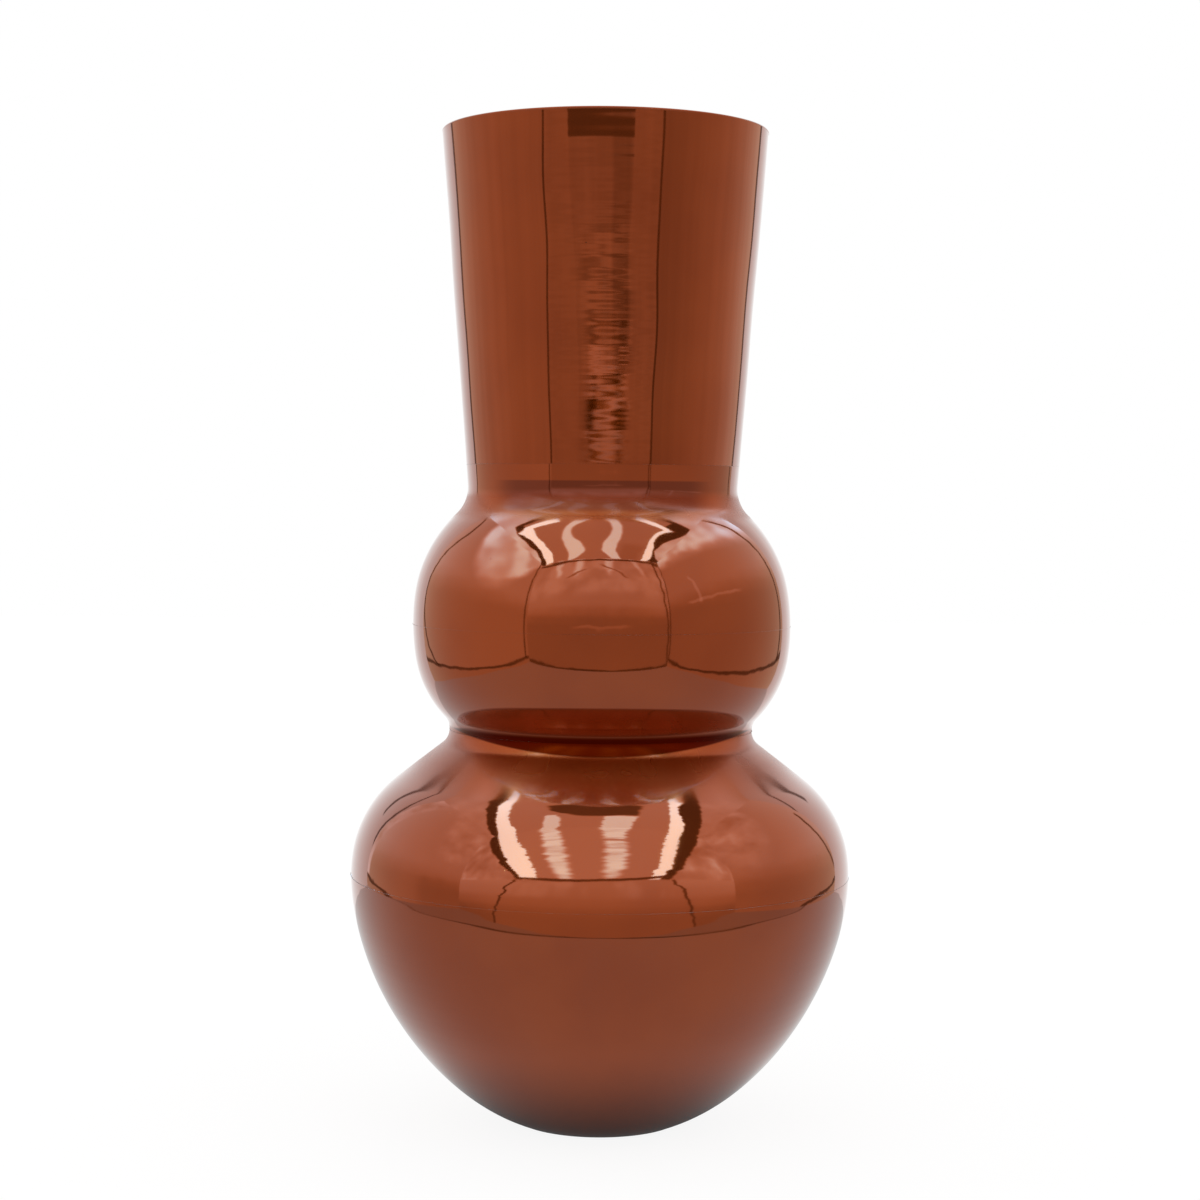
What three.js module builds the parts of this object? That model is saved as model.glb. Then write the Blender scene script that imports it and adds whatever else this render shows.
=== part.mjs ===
// Tall lacquered zinc vase: flared neck, squashed ball, narrow waist and a wide bulb on a small foot.
// Spun sheet sections are lapped into each other and soft-soldered on the inside.
// Millimetres, +Z up, origin at the centre of the face that the vase stands on.

import * as THREE from 'three';

// Overall levels and radii of the outer skin
const HEIGHT = 300;
const RIM_RADIUS = 49.2;
const BALL_LEVEL = 151.4;
const BALL_RADIUS = 57.4;
const BELLY_LEVEL = 75.7;
const BELLY_RADIUS = 75.7;
const FOOT_RADIUS = 25.6;

// Neck: a straight taper that runs into the ball through a soft fillet
const NECK_TAPER = THREE.MathUtils.degToRad(4.43);
const NECK_FILLET = 11;
const COLLAR_HEIGHT = 6;

// Ball: a flat band of large radius round its equator, with tighter arcs above and below
const BALL_BAND_ARC = 62.5;
const BALL_BAND_ANGLE = THREE.MathUtils.degToRad(9.2);
const BALL_CAP_ARC = 41.7;
const BALL_UNDER_ARC = 33.4;
const WAIST_FILLET = 5.8;

// Bulb: cone below the waist, shoulder arc, belly band, then a turnip-shaped bowl
const SHOULDER_CONE = THREE.MathUtils.degToRad(52.5);
const SHOULDER_ARC = 34.3;
const BELLY_BAND_ARC = 42.7;
const BELLY_BAND_ANGLE = THREE.MathUtils.degToRad(9.5);
const BOWL_BELLY_HANDLE = 27.7;
const BOWL_FOOT_HANDLE = 30.6;
const BOWL_FOOT_ANGLE = THREE.MathUtils.degToRad(20.6);

// Sheet, laps and solder
const WALL = 1.2;
const FIT = 0.3;
const LAP_LENGTH = 5;
const JOGGLE_LENGTH = 2.5;
const SOLDER_LEG = 2;

// Felt pad in the foot's recess
const PAD_RADIUS = 20.5;
const PAD_THICKNESS = 1.5;
const PAD_PROUD = 0.5;

// Facets
const SIDES = 48;
const ARC_STEP = THREE.MathUtils.degToRad(9);
const BOWL_STEPS = 12;
const LIP_STEPS = 4;

const lapInset = WALL + FIT;
const along = (angle) => new THREE.Vector2(Math.cos(angle), Math.sin(angle));
const at = (radius, height) => new THREE.Vector2(radius, height);

/** Centre of an arc that runs on smoothly from another arc at a given angle. */
function nextCentre(centre, radius, nextRadius, angle) {
  return centre.clone().addScaledVector(along(angle), radius - nextRadius);
}

/** Where a ball of given reach touches a line first, going along the line from its start. */
function firstTouch(start, direction, centre, reach) {
  const offset = start.clone().sub(centre);
  const half = offset.dot(direction);
  const travel = -half - Math.sqrt(half * half - offset.lengthSq() + reach * reach);
  return start.clone().addScaledVector(direction, travel);
}

/** Bulging arc of the skin, which turns clockwise on its way down. */
function bulge(centre, radius, from, to) {
  return new THREE.EllipseCurve(centre.x, centre.y, radius, radius, from, to, true);
}

/** Hollow fillet of the skin, which turns the other way on its way down. */
function fillet(centre, radius, from, to) {
  const turn = THREE.MathUtils.euclideanModulo(to - from, 2 * Math.PI);
  return new THREE.EllipseCurve(centre.x, centre.y, radius, radius, from, from + turn, false);
}

/** Direction from one point to another, as an angle from half a turn below zero to half above. */
function bearing(from, to) {
  return Math.atan2(to.y - from.y, to.x - from.x);
}

// Neck line, from the rim down, and its fillet against the ball
const neckOut = along(-NECK_TAPER);
const neckDown = at(-Math.sin(NECK_TAPER), -Math.cos(NECK_TAPER));
const rimPoint = at(RIM_RADIUS, HEIGHT - (WALL / 2) * (1 + Math.sin(NECK_TAPER)));
const bandCentre = at(BALL_RADIUS - BALL_BAND_ARC, BALL_LEVEL);
const capCentre = nextCentre(bandCentre, BALL_BAND_ARC, BALL_CAP_ARC, BALL_BAND_ANGLE);
const neckFilletCentre = firstTouch(
  rimPoint.clone().addScaledVector(neckOut, NECK_FILLET),
  neckDown,
  capCentre,
  BALL_CAP_ARC + NECK_FILLET,
);
const neckFoot = neckFilletCentre.clone().addScaledVector(neckOut, -NECK_FILLET);
const neckSeam = neckFoot.clone().addScaledVector(neckDown, -COLLAR_HEIGHT);

// Shoulder cone, from the belly up, and its fillet against the underside of the ball
const underCentre = nextCentre(bandCentre, BALL_BAND_ARC, BALL_UNDER_ARC, -BALL_BAND_ANGLE);
const bellyCentre = at(BELLY_RADIUS - BELLY_BAND_ARC, BELLY_LEVEL);
const shoulderCentre = nextCentre(bellyCentre, BELLY_BAND_ARC, SHOULDER_ARC, BELLY_BAND_ANGLE);
const coneOut = along(SHOULDER_CONE);
const coneUp = at(-Math.sin(SHOULDER_CONE), Math.cos(SHOULDER_CONE));
const coneFoot = shoulderCentre.clone().addScaledVector(coneOut, SHOULDER_ARC);
const waistFilletCentre = firstTouch(
  coneFoot.clone().addScaledVector(coneOut, WAIST_FILLET),
  coneUp,
  underCentre,
  BALL_UNDER_ARC + WAIST_FILLET,
);
const coneHead = waistFilletCentre.clone().addScaledVector(coneOut, -WAIST_FILLET);

// Foot of the bowl
const footLevel = PAD_PROUD;
const footPoint = at(FOOT_RADIUS, footLevel);

// Outer skin as runs of curves, each run from its upper seam down to its lower one
const collar = new THREE.LineCurve(neckSeam, neckFoot);
const skin = {
  neck: [new THREE.LineCurve(rimPoint, neckSeam)],
  ballUpper: [
    collar,
    fillet(neckFilletCentre, NECK_FILLET, Math.PI - NECK_TAPER, bearing(neckFilletCentre, capCentre)),
    bulge(capCentre, BALL_CAP_ARC, bearing(capCentre, neckFilletCentre), BALL_BAND_ANGLE),
    bulge(bandCentre, BALL_BAND_ARC, BALL_BAND_ANGLE, 0),
  ],
  ballLower: [
    bulge(bandCentre, BALL_BAND_ARC, 0, -BALL_BAND_ANGLE),
    bulge(underCentre, BALL_UNDER_ARC, -BALL_BAND_ANGLE, bearing(underCentre, waistFilletCentre)),
    fillet(waistFilletCentre, WAIST_FILLET, bearing(waistFilletCentre, underCentre), Math.PI),
  ],
  shoulder: [
    fillet(waistFilletCentre, WAIST_FILLET, Math.PI, Math.PI + SHOULDER_CONE),
    new THREE.LineCurve(coneHead, coneFoot),
    bulge(shoulderCentre, SHOULDER_ARC, SHOULDER_CONE, BELLY_BAND_ANGLE),
    bulge(bellyCentre, BELLY_BAND_ARC, BELLY_BAND_ANGLE, 0),
  ],
  bowl: [
    new THREE.CubicBezierCurve(
      at(BELLY_RADIUS, BELLY_LEVEL),
      at(BELLY_RADIUS, BELLY_LEVEL - BOWL_BELLY_HANDLE),
      footPoint.clone().addScaledVector(along(BOWL_FOOT_ANGLE), BOWL_FOOT_HANDLE),
      footPoint,
    ),
  ],
};

/** Facet count of one curve: by its turn for an arc, one for a line. */
function steps(curve) {
  if (curve.isLineCurve) return 1;
  if (curve.isCubicBezierCurve) return BOWL_STEPS;
  return Math.max(1, Math.ceil(Math.abs(curve.aEndAngle - curve.aStartAngle) / ARC_STEP));
}

/** Point at a distance down a run of curves, moved inwards from the skin by a depth. */
function pointAt(run, distance, depth) {
  let left = distance;
  let curve = run[0];
  for (const next of run) {
    curve = next;
    if (left <= next.getLength()) break;
    if (next !== run[run.length - 1]) left -= next.getLength();
  }
  const share = Math.min(left / curve.getLength(), 1);
  const heading = curve.getTangentAt(share);
  return curve.getPointAt(share).addScaledVector(at(heading.y, -heading.x), depth);
}

/** Points down a run of curves between two distances, moved inwards by a depth. */
function offsetRun(run, depth, from, to) {
  const points = [pointAt(run, from, depth)];
  let start = 0;
  for (const curve of run) {
    const length = curve.getLength();
    for (let i = 0; i <= steps(curve); i++) {
      const distance = start + (length * i) / steps(curve);
      const repeated = distance < from + FIT || distance > to - FIT || (i === 0 && start > 0);
      if (!repeated) points.push(pointAt(run, distance, depth));
    }
    start += length;
  }
  points.push(pointAt(run, to, depth));
  return points;
}

const runLength = (run) => run.reduce((sum, curve) => sum + curve.getLength(), 0);

/** Solid of revolution about Z from a closed half section, or one that starts and ends on the axis. */
function turned(section) {
  const closed = section[0].x === 0 ? section : [...section, section[0]];
  return new THREE.LatheGeometry(closed.toReversed(), SIDES).rotateX(Math.PI / 2);
}

/** Spun section with a stepped-in lap at its lower end, following the path of the lap given. */
function lappedShell(run, topCut, lapPath, lapEnd) {
  const end = runLength(run);
  const outside = offsetRun(run, 0, topCut, end);
  const inside = offsetRun(run, WALL, topCut, end - JOGGLE_LENGTH);
  const lapOutside = offsetRun(lapPath, lapInset, 0, lapEnd);
  const lapInside = offsetRun(lapPath, lapInset + WALL, 0, lapEnd);
  return [...outside, ...lapOutside, ...lapInside.reverse(), ...inside.reverse()];
}

/** Half-round of the trimmed rim, from its outer side over the top to its inner side. */
function lipPoints() {
  const centre = rimPoint.clone().addScaledVector(neckOut, -WALL / 2);
  const points = [];
  for (let i = 1; i < LIP_STEPS; i++) {
    const angle = -NECK_TAPER + (Math.PI * i) / LIP_STEPS;
    points.push(centre.clone().addScaledVector(along(angle), WALL / 2));
  }
  return points;
}

/** Neck: straight taper from the rounded rim to the lap inside the ball's collar. */
function neckGeometry() {
  const shell = lappedShell(skin.neck, 0, skin.ballUpper, LAP_LENGTH);
  return turned([...shell, ...lipPoints().reverse()]);
}

/** Ball's upper half, with the collar that takes the neck. */
function ballUpperGeometry() {
  return turned(lappedShell(skin.ballUpper, FIT, skin.ballLower, LAP_LENGTH));
}

// The waist's lap drops straight, because the shoulder flares away from it, and ends level with the
// lower end of the fillet
const waistReach = WAIST_FILLET + lapInset;
const waistLevel = waistFilletCentre.y;
const waistRadius = waistFilletCentre.x - WAIST_FILLET;
const waistLapLevel = waistLevel - waistReach * Math.sin(SHOULDER_CONE);
const waistDrop = [
  new THREE.LineCurve(at(waistRadius, waistLevel), at(waistRadius, waistLapLevel)),
];

/** Ball's lower half, down to the narrowest line of the waist. */
function ballLowerGeometry() {
  return turned(lappedShell(skin.ballLower, FIT, waistDrop, waistLevel - waistLapLevel));
}

/** Bulb from the waist to its widest line. */
function shoulderGeometry() {
  return turned(lappedShell(skin.shoulder, FIT, skin.bowl, LAP_LENGTH));
}

/** Bowl spun from one disc, with a foot ring and a shallow recess for the pad in its bottom. */
function bowlGeometry() {
  const end = runLength(skin.bowl);
  const recessRadius = PAD_RADIUS + FIT;
  const recessLevel = PAD_THICKNESS + FIT;
  const floorRadius = FOOT_RADIUS - WALL * Math.tan(BOWL_FOOT_ANGLE / 2);
  return turned([
    at(0, recessLevel + WALL),
    at(recessRadius + WALL, recessLevel + WALL),
    at(recessRadius + WALL, footLevel + WALL),
    at(floorRadius, footLevel + WALL),
    ...offsetRun(skin.bowl, WALL, FIT, end - WALL).reverse(),
    ...offsetRun(skin.bowl, 0, FIT, end),
    at(recessRadius, footLevel),
    at(recessRadius, recessLevel),
    at(0, recessLevel),
  ]);
}

/** Fillet of solder in the corner under a lap that ends against the wall of the run given. */
function solderFillet(run) {
  const top = LAP_LENGTH + FIT;
  return turned([
    pointAt(run, top, lapInset),
    pointAt(run, top + SOLDER_LEG, lapInset),
    pointAt(run, top, lapInset + WALL),
  ]);
}

/** Wedge of solder between the waist's straight lap and the shoulder's fillet that curves away from it. */
function waistSolder() {
  const leave = Math.acos(1 - FIT / waistReach);
  const backing = fillet(waistFilletCentre, waistReach, Math.PI + leave, Math.PI + SHOULDER_CONE);
  return turned([...backing.getPoints(steps(backing)), at(waistRadius - WALL, waistLapLevel)]);
}

/** Felt disc, proud of the foot ring so that the vase stands on it. */
function padGeometry() {
  const disc = new THREE.CylinderGeometry(PAD_RADIUS, PAD_RADIUS, PAD_THICKNESS, SIDES);
  return disc.rotateX(Math.PI / 2).translate(0, 0, PAD_THICKNESS / 2);
}

const lacquer = new THREE.MeshStandardMaterial({ color: 0x84402a, roughness: 0.12, metalness: 0.7 });
const solder = new THREE.MeshStandardMaterial({ color: 0x9a9a98, roughness: 0.45, metalness: 0.9 });
const felt = new THREE.MeshStandardMaterial({ color: 0x1d1a19, roughness: 1, metalness: 0 });

/** Named piece in its finish. */
function piece(name, geometry, material) {
  const mesh = new THREE.Mesh(geometry, material.clone());
  mesh.name = name;
  return mesh;
}

const vase = new THREE.Group();
vase.name = 'zinc_vase';
vase.add(
  piece('neck_tube', neckGeometry(), lacquer),
  piece('ball_upper_half', ballUpperGeometry(), lacquer),
  piece('ball_lower_half', ballLowerGeometry(), lacquer),
  piece('bulb_shoulder', shoulderGeometry(), lacquer),
  piece('bulb_bowl', bowlGeometry(), lacquer),
  piece('solder_neck', solderFillet(skin.ballUpper), solder),
  piece('solder_ball', solderFillet(skin.ballLower), solder),
  piece('solder_waist', waistSolder(), solder),
  piece('solder_bulb', solderFillet(skin.bowl), solder),
  piece('base_pad', padGeometry(), felt),
);

export default vase;
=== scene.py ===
import bpy
import numpy as np
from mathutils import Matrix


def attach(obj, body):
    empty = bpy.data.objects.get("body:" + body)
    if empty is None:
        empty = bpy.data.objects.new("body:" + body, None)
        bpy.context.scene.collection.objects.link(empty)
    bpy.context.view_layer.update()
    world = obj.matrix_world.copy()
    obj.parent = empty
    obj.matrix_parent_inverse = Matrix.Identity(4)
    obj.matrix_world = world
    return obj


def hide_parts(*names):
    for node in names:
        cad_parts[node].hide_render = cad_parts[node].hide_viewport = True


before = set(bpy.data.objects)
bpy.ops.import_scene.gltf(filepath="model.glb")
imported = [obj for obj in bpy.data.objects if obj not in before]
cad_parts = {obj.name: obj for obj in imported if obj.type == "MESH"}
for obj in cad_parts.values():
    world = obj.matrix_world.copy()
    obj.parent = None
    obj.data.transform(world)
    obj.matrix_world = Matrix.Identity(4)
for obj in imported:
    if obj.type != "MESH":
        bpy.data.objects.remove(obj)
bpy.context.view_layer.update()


# Bulb bowl
# Lower half of the bulb, spun from one disc of 1.2 mm zinc sheet down to a small foot ring with a
# recess in its bottom. Everything that shows is under one coat of clear reddish-brown lacquer.
WALL = 0.0012
FIT = 0.0003
BELLY_LEVEL, BELLY_RADIUS = 0.0757, 0.0757
FOOT_LEVEL, FOOT_RADIUS = 0.0005, 0.0256
BELLY_HANDLE, FOOT_HANDLE, FOOT_ANGLE = 0.0277, 0.0306, np.radians(20.6)
PAD_RADIUS, PAD_THICKNESS = 0.0205, 0.0015
SIDES = 296
FINE, COARSE = 0.0005, 0.003
CURVE_POINTS = 4000
ON_AXIS = 1e-9
SHARP_TURN = np.radians(25)


def heading(angle):
    """Unit step in the half section, at an angle above the outward level."""
    return np.array([np.cos(angle), np.sin(angle)])


def chain(*runs):
    """Runs of points one after another, each without the point that the run before it ended on."""
    return np.concatenate([runs[0]] + [run[1:] for run in runs[1:]])


def lengths(run):
    """Distance of each point along a run: the running sum of the steps between points."""
    return np.concatenate([[0], np.cumsum(np.hypot(*np.diff(run, axis=0).T))])


def stretch(run, start, end):
    """The part of a run between two distances along it."""
    along = lengths(run)
    inner = run[(along > start) & (along < end)]
    ends = [[np.interp(at, along, run[:, 0]), np.interp(at, along, run[:, 1])] for at in (start, end)]
    return np.concatenate([ends[:1], inner, ends[1:]])


def sunk(run, depth):
    """A run that climbs the outside, moved in from the skin: each point goes a depth to the left of the
    way along it."""
    way = np.gradient(run, lengths(run), axis=0, edge_order=2)
    way /= np.hypot(*way.T)[:, None]
    return run + depth * np.stack([-way[:, 1], way[:, 0]], axis=1)


def rows(run, step):
    """Points on a run one step apart. The steps halve four times towards its ends, so that the shine runs
    on over a seam."""
    along = lengths(run)
    total = along[-1]
    if total < 4 * step:
        at = np.linspace(0, total, 2 + int(total / step))
    else:
        taper = step * np.array([0, 1 / 16, 3 / 16, 7 / 16])
        middle = np.linspace(step * 15 / 16, total - step * 15 / 16, 2 + int(total / step))
        at = np.concatenate([taper, middle, total - taper[::-1]])
    return np.stack([np.interp(at, along, run[:, 0]), np.interp(at, along, run[:, 1])], axis=1)


def hand_wave(height, angle):
    """How far the skin lies under its true radius: three slow lobed waves round the axis, which turn as they
    climb, and fine rings left by the spinning tool, each a sine of turn and height, from nothing to 0.2 mm
    in. The waves are (depth, lobes round the axis, turn to a metre, start)."""
    waves = [(0.00006, 3, 95, 0.4), (0.00003, 5, -140, 2.1), (0.000012, 8, 210, 4.0)]
    lobes = sum(depth * np.sin(count * angle + lean * height + start) for depth, count, lean, start in waves)
    rings = 0.000003 * np.sin(2050 * height + 1.3 * np.sin(330 * height)) + 0.000005 * np.sin(760 * height)
    mean_depth = 0.00011
    return mean_depth - lobes - rings


def turned(name, outline, finishes, sides=SIDES):
    """Closed surface of revolution. outline lists (points, finish number, waved) runs round the half section,
    counter-clockwise, and a point at radius r and height z goes round as (r cos a, r sin a, z). A run that
    starts or ends on the axis closes there in one vertex. Rings at the corners of the section are sharp."""
    closed = outline[0][0][0][0] > ON_AXIS
    last_point, last_wave = ([], []) if closed else ([outline[-1][0][-1:]], [[0]])
    points = np.concatenate([run[:-1] for run, _, _ in outline] + last_point)
    coated = np.concatenate([np.full(len(run) - 1, which) for run, which, _ in outline])
    waved = np.concatenate([np.full(len(run) - 1, wave) for run, _, wave in outline] + last_wave)
    angle = np.arange(sides) * 2 * np.pi / sides
    radius, height = points.T
    reach = radius[:, None] - waved[:, None] * hand_wave(height[:, None], angle[None, :])
    level = np.repeat(height[:, None], sides, axis=1)
    grid = np.stack([reach * np.cos(angle), reach * np.sin(angle), level], axis=2)
    pole = radius < ON_AXIS
    number = np.arange(len(points) * sides).reshape(len(points), sides)
    number[pole] = number[pole][:, :1]
    kept, number = np.unique(number, return_inverse=True)
    number = number.reshape(len(points), sides)
    onward = np.roll(number, -1, axis=1)
    lower = np.arange(len(points) if closed else len(points) - 1)
    upper = (lower + 1) % len(points)
    corners = np.stack([number[lower], onward[lower], onward[upper], number[upper]], axis=2).reshape(-1, 4)
    faces = [list(dict.fromkeys(face)) for face in corners.tolist()]
    mesh = bpy.data.meshes.new(name)
    mesh.from_pydata(grid.reshape(-1, 3)[kept].tolist(), [], faces)
    for material in finishes:
        mesh.materials.append(material)
    mesh.polygons.foreach_set("material_index", coated[np.repeat(lower, sides)].astype(np.int32))
    mesh.shade_smooth()
    before, after = points - np.roll(points, 1, axis=0), np.roll(points, -1, axis=0) - points
    turn = np.arctan2(before[:, 0] * after[:, 1] - before[:, 1] * after[:, 0], (before * after).sum(axis=1))
    ring = kept // sides
    ends = np.empty(len(mesh.edges) * 2, dtype=np.int32)
    mesh.edges.foreach_get("vertices", ends)
    start, end = ring[ends[::2]], ring[ends[1::2]]
    corner = (start == end) & (np.abs(turn[start]) > SHARP_TURN)
    mesh.attributes.new("sharp_edge", "BOOLEAN", "EDGE").data.foreach_set("value", corner)
    mesh.update()
    piece = bpy.data.objects.new(name, mesh)
    bpy.context.scene.collection.objects.link(piece)
    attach(piece, "root")
    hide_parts(name.removesuffix("_skin"))


class Wire:
    """An output socket in a material's nodes. Arithmetic on wires adds Math nodes, and shade() adds any
    other node."""

    def __init__(self, tree, socket=None):
        self.tree, self.socket = tree, socket

    def shade(self, kind, inputs, out=0, **settings):
        """A new node with these settings and inputs, by name or number, as the wire of one of its outputs."""
        node = self.tree.nodes.new("ShaderNode" + kind)
        for name, value in settings.items():
            setattr(node, name, value)
        for name, value in inputs.items():
            if isinstance(value, Wire):
                self.tree.links.new(value.socket, node.inputs[name])
            else:
                node.inputs[name].default_value = value
        return Wire(self.tree, node.outputs[out] if node.outputs else None)

    def math(self, operation, *others):
        """Math node on this wire and the others."""
        return self.shade("Math", dict(enumerate((self, *others))), operation=operation)

    def __add__(self, other):
        return self.math("ADD", other)

    def __sub__(self, other):
        return self.math("SUBTRACT", other)

    def __rsub__(self, other):
        return self.shade("Math", {0: other, 1: self}, operation="SUBTRACT")

    def __mul__(self, other):
        return self.math("MULTIPLY", other)

    __radd__, __rmul__ = __add__, __mul__

    def rise(self, start, end):
        """0 before start and 1 after end, with a smooth slope between them."""
        inputs = {"Value": self, "From Min": start, "From Max": end}
        return self.shade("MapRange", inputs, interpolation_type="SMOOTHSTEP")

    def mix(self, low, high):
        """Colour that goes from low to high as this wire goes from 0 to 1."""
        return self.shade("Mix", {0: self, 6: low, 7: high}, 2, data_type="RGBA")

    def here(self):
        """Object coordinates."""
        return self.shade("TexCoord", {}, "Object")

    def parts(self):
        """The x, y and z of these coordinates."""
        return [self.shade("SeparateXYZ", {0: self}, axis) for axis in "XYZ"]

    def stretched(self, scale):
        """These coordinates times a scale for each axis."""
        return self.shade("VectorMath", {0: self, 1: scale}, operation="MULTIPLY")

    def noise(self, scale, detail=2, roughness=0.5):
        """Fractal noise from 0 to 1, with that many patches to a metre."""
        inputs = {"Vector": self, "Scale": scale, "Detail": detail, "Roughness": roughness}
        return self.shade("TexNoise", inputs)


def finish(name):
    """New material with its Principled shader, and a wire to start its patterns from."""
    material = bpy.data.materials.new(name)
    material.use_nodes = True
    return material, material.node_tree.nodes["Principled BSDF"], Wire(material.node_tree)


def wire_up(shader, **sockets):
    """Links wires to sockets of a shader, and sets numbers and colours on the others."""
    for name, value in sockets.items():
        socket = shader.inputs[name.replace("_", " ")]
        if isinstance(value, Wire):
            value.tree.links.new(value.socket, socket)
        else:
            socket.default_value = value


def raised(start, height, distance, strength=1.0, **under):
    """Normal with a relief of that height, over the relief in under."""
    return start.shade("Bump", {"Strength": strength, "Distance": distance, "Height": height, **under})


# Lacquer: tinted clear coat over bright zinc. It hangs a little thicker and darker in patches, keeps the
# spinning marks as faint rings and has a few grains of dust in it. It is duller in the two hollows. A band
# of painted shade darkens it under the neck, and a crescent of painted dark reflection, darker still, lies
# in the waist; both are painted in front and behind only.
THIN_COAT, THICK_COAT = (0.300, 0.052, 0.006, 1), (0.268, 0.043, 0.004, 1)
# Colours of the painted shade under the neck and of the painted dark reflection in the waist.
NECK_SHADE_COAT, CRESCENT_REFLECTION_COAT = (0.110, 0.010, 0.0005, 1), (0.058, 0.003, 0.0001, 1)
# Height, half height and bend of the painted dark reflection in the waist.
CRESCENT_LEVEL, CRESCENT_HALF_HEIGHT, CRESCENT_BEND = 0.1207, 0.0049, 2.53
GRAIN_SCALE = 190.0
lacquer, shader, start = finish("reddish_brown_lacquer")
spot = start.here()
x, y, z = spot.parts()
patches = spot.noise(28, 3).rise(0.35, 0.68)
thick = spot.stretched((1, 1, 0.35)).noise(60, 2).rise(0.3, 0.7)
# Painted dark reflection: a crescent in the waist, in front and behind only, fully metallic and without coat.
crescent_edge = (z - CRESCENT_LEVEL).math("ABSOLUTE") + x * x * CRESCENT_BEND - CRESCENT_HALF_HEIGHT
painted_reflection = (1 - crescent_edge.rise(-0.0002, 0.0004)) * (1 - z.rise(0.1206, 0.1226))
# Painted shade: a darker band under the neck, in front and behind only.
painted_shade = z.rise(0.1850, 0.1870) * (1 - z.rise(0.1945, 0.1950)) * (1 - (x * x).rise(0.0006, 0.0011))
tint = patches.mix(THIN_COAT, THICK_COAT)
tint = (painted_shade * 0.75).mix(tint, NECK_SHADE_COAT)
tint = painted_reflection.mix(tint, CRESCENT_REFLECTION_COAT)
waist_hollow = z.rise(0.102, 0.112) * (1 - z.rise(0.120, 0.122))
neck_hollow = z.rise(0.1825, 0.1850) * (1 - z.rise(0.1895, 0.1920))
dull = waist_hollow + neck_hollow
spinning = spot.stretched((4, 4, 260)).noise(1, 3, 0.6)
peel = spot.noise(420, 1)
grains = start.shade("TexVoronoi", {"Vector": spot, "Scale": GRAIN_SCALE}, "Distance")
chance = start.shade("TexVoronoi", {"Vector": spot, "Scale": GRAIN_SCALE}, "Color")
dust = (1 - grains.rise(0.0, 0.085)) * start.shade("SeparateColor", {0: chance}, "Red").rise(0.905, 0.91)
relief = raised(start, spinning, 0.0000022)
relief = raised(start, peel, 0.0000012, Normal=relief)
relief = raised(start, dust, 0.00005, Normal=relief)
wire_up(
    shader, Base_Color=tint, Metallic=0.8 + painted_reflection * 0.2, IOR=1.5, Normal=relief,
    Roughness=0.035 + thick * 0.03 + dust * 0.2 + dull * 0.22,
    Coat_Weight=(0.5 - dull * 0.42) * (1 - painted_reflection), Coat_Roughness=0.02, Coat_IOR=1.5,
)

# Bare zinc of the inside: grey, dull and cloudy, with the marks of the spinning roller.
zinc, shader, start = finish("bare_spun_zinc")
spot = start.here()
cloud = spot.noise(90, 5, 0.6).rise(0.3, 0.7)
spinning = spot.stretched((6, 6, 900)).noise(1, 3, 0.6)
tint = cloud.mix((0.30, 0.31, 0.33, 1), (0.46, 0.47, 0.49, 1))
relief = raised(start, spinning + cloud * 0.4, 0.00003, 0.7)
wire_up(shader, Base_Color=tint, Metallic=0.9, Roughness=0.38 + cloud * 0.2, Normal=relief)


def bezier(start, first, second, end):
    """Points on a cubic curve: the four given points weighted by the terms of ((1 - t) + t) cubed, for t
    from 0 to 1."""
    t = np.linspace(0, 1, CURVE_POINTS)[:, None]
    return (1 - t) ** 3 * start + 3 * t * (1 - t) ** 2 * first + 3 * t**2 * (1 - t) * second + t**3 * end


foot = np.array([FOOT_RADIUS, FOOT_LEVEL])
bowl_run = bezier(
    foot, foot + FOOT_HANDLE * heading(FOOT_ANGLE),
    np.array([BELLY_RADIUS, BELLY_LEVEL - BELLY_HANDLE]), np.array([BELLY_RADIUS, BELLY_LEVEL]),
)
bowl_end = lengths(bowl_run)[-1]
bowl_inside = stretch(sunk(bowl_run, WALL), WALL, bowl_end - FIT)[::-1]
recess_radius, recess_level = PAD_RADIUS + FIT, PAD_THICKNESS + FIT
bottom = np.array([
    [0, recess_level], [recess_radius, recess_level], [recess_radius, FOOT_LEVEL], [FOOT_RADIUS, FOOT_LEVEL],
])
floor_inside = np.array([
    bowl_inside[-1], [recess_radius + WALL, FOOT_LEVEL + WALL], [recess_radius + WALL, recess_level + WALL],
    [0, recess_level + WALL],
])
bowl_outline = [
    (rows(bottom[:2], COARSE), 0, 0),
    (rows(bottom[1:3], FINE), 0, 0),
    (rows(bottom[2:], FINE), 0, 0),
    (rows(bowl_run, FINE), 0, 1),
    (np.array([bowl_run[-1], bowl_inside[0]]), 1, 0),
    (rows(bowl_inside, COARSE), 1, 0),
    (rows(floor_inside[:2], COARSE), 1, 0),
    (rows(floor_inside[1:3], FINE), 1, 0),
    (rows(floor_inside[2:], COARSE), 1, 0),
]
turned("bulb_bowl_skin", bowl_outline, [lacquer, zinc])


# Bulb shoulder
# Upper half of the bulb, spun from the widest line up to the waist. Its lower edge is stepped in by one
# wall and slides 5 mm into the bowl, where a ring of soft solder holds it from inside.
BELLY_BAND, BELLY_BAND_ANGLE = 0.0427, np.radians(9.5)
SHOULDER_ARC, SHOULDER_CONE = 0.0343, np.radians(52.5)
BALL_LEVEL, BALL_RADIUS = 0.1514, 0.0574
BALL_BAND, BALL_BAND_ANGLE, BALL_UNDER = 0.0625, np.radians(9.2), 0.0334
WAIST_FILLET = 0.0058
LAP, JOGGLE, LAP_INSET = 0.005, 0.0025, 0.0015
LAP_STEP = 0.001


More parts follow.
